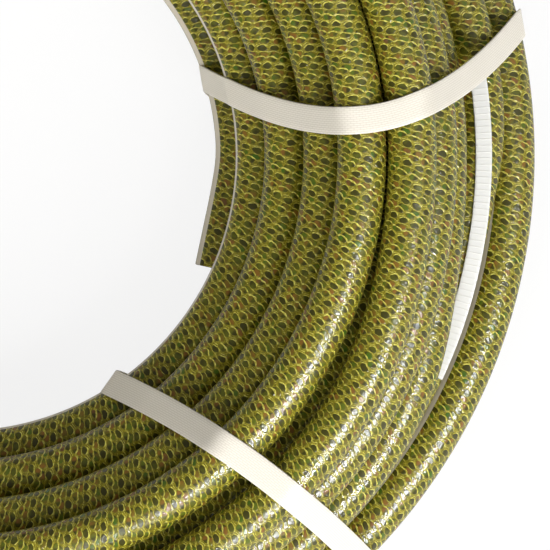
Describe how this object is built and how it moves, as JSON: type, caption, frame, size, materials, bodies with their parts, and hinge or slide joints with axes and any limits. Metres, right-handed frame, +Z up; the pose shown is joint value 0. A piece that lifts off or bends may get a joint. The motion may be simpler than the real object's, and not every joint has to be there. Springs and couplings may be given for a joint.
{
  "type": "coiled garden hose",
  "caption": "Knit-reinforced garden hose wound in a flat multi-row coil, held by strapping bands, with both cut ends free to bend.",
  "frame": {"origin": "on the coil axis, on the plane the coil rests on", "axes": "+Z up along the coil axis; +X points at the side of the coil where the first band crosses"},
  "size_m": [0.455, 0.4366, 0.1157],
  "materials": {
    "inner_tube": "satin",
    "colour_layer": "satin",
    "knit_yarn": "matt",
    "jacket": "gloss",
    "stripe": "gloss",
    "strapping": "satin"
  },
  "bodies": {
    "coil": {"hose_inner_tube": "inner_tube", "hose_colour_layer": "colour_layer", "hose_knit_yarn": "knit_yarn", "hose_jacket": "jacket", "hose_stripe": "stripe"},
    "inner_end": {"inner_end_inner_tube": "inner_tube", "inner_end_colour_layer": "colour_layer", "inner_end_knit_yarn": "knit_yarn", "inner_end_jacket": "jacket", "inner_end_stripe": "stripe"},
    "outer_end": {"outer_end_inner_tube": "inner_tube", "outer_end_colour_layer": "colour_layer", "outer_end_knit_yarn": "knit_yarn", "outer_end_jacket": "jacket", "outer_end_stripe": "stripe"},
    "strap_1": {"strap_1": "strapping", "strap_1_free_end": "strapping"},
    "strap_2": {"strap_2": "strapping"},
    "strap_3": {"strap_3": "strapping"},
    "strap_4": {"strap_4": "strapping"},
    "strap_5": {"strap_5": "strapping"},
    "strap_6": {"strap_6": "strapping"}
  },
  "joints": [
    {"name": "inner_end_swing", "type": "hinge", "parent": "coil", "child": "inner_end", "pos_m": [0.09656, 0.00675, 0.0116], "axis": [0, 0, -1], "range_deg": [0, 35]},
    {"name": "outer_end_lift", "type": "hinge", "parent": "coil", "child": "outer_end", "pos_m": [0.02634, 0.1494, 0.1131], "axis": [0.1736, 0.9848, 0], "range_deg": [0, 55]},
    {"name": "strap_1_slide", "type": "hinge", "parent": "coil", "child": "strap_1", "pos_m": [0, 0, 0], "axis": [0, 0, 1], "range_deg": [-3, 3]},
    {"name": "strap_2_slide", "type": "hinge", "parent": "coil", "child": "strap_2", "pos_m": [0, 0, 0], "axis": [0, 0, 1], "range_deg": [-3, 3]},
    {"name": "strap_3_slide", "type": "hinge", "parent": "coil", "child": "strap_3", "pos_m": [0, 0, 0], "axis": [0, 0, 1], "range_deg": [-2, 2]},
    {"name": "strap_4_slide", "type": "hinge", "parent": "coil", "child": "strap_4", "pos_m": [0, 0, 0], "axis": [0, 0, 1], "range_deg": [-2, 2]},
    {"name": "strap_5_slide", "type": "hinge", "parent": "coil", "child": "strap_5", "pos_m": [0, 0, 0], "axis": [0, 0, 1], "range_deg": [-2, 2]},
    {"name": "strap_6_slide", "type": "hinge", "parent": "coil", "child": "strap_6", "pos_m": [0, 0, 0], "axis": [0, 0, 1], "range_deg": [-2, 2]}
  ]
}
